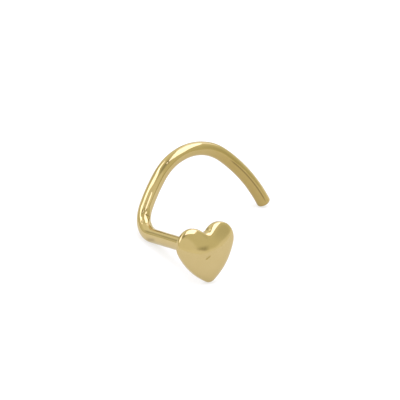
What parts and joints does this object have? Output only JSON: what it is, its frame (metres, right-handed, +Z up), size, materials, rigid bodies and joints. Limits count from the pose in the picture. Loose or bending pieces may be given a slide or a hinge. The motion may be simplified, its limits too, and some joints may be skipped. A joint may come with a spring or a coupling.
{
  "type": "nose screw stud",
  "caption": "Polished yellow gold nose screw: a small domed heart on a straight post whose wire bends square into a curved hook that holds it inside the nostril.",
  "frame": {"origin": "centre of the footprint of the stud's box, on the surface that it lies on", "axes": "+Z up from that surface; the heart faces -Y, the post runs back from it towards +Y and the hook reaches out along +X"},
  "size_m": [0.0108, 0.0088, 0.0044],
  "materials": {
    "gold": "polished 14 karat yellow gold"
  },
  "bodies": {
    "root": {"heart_nose_screw": "gold"}
  },
  "joints": []
}
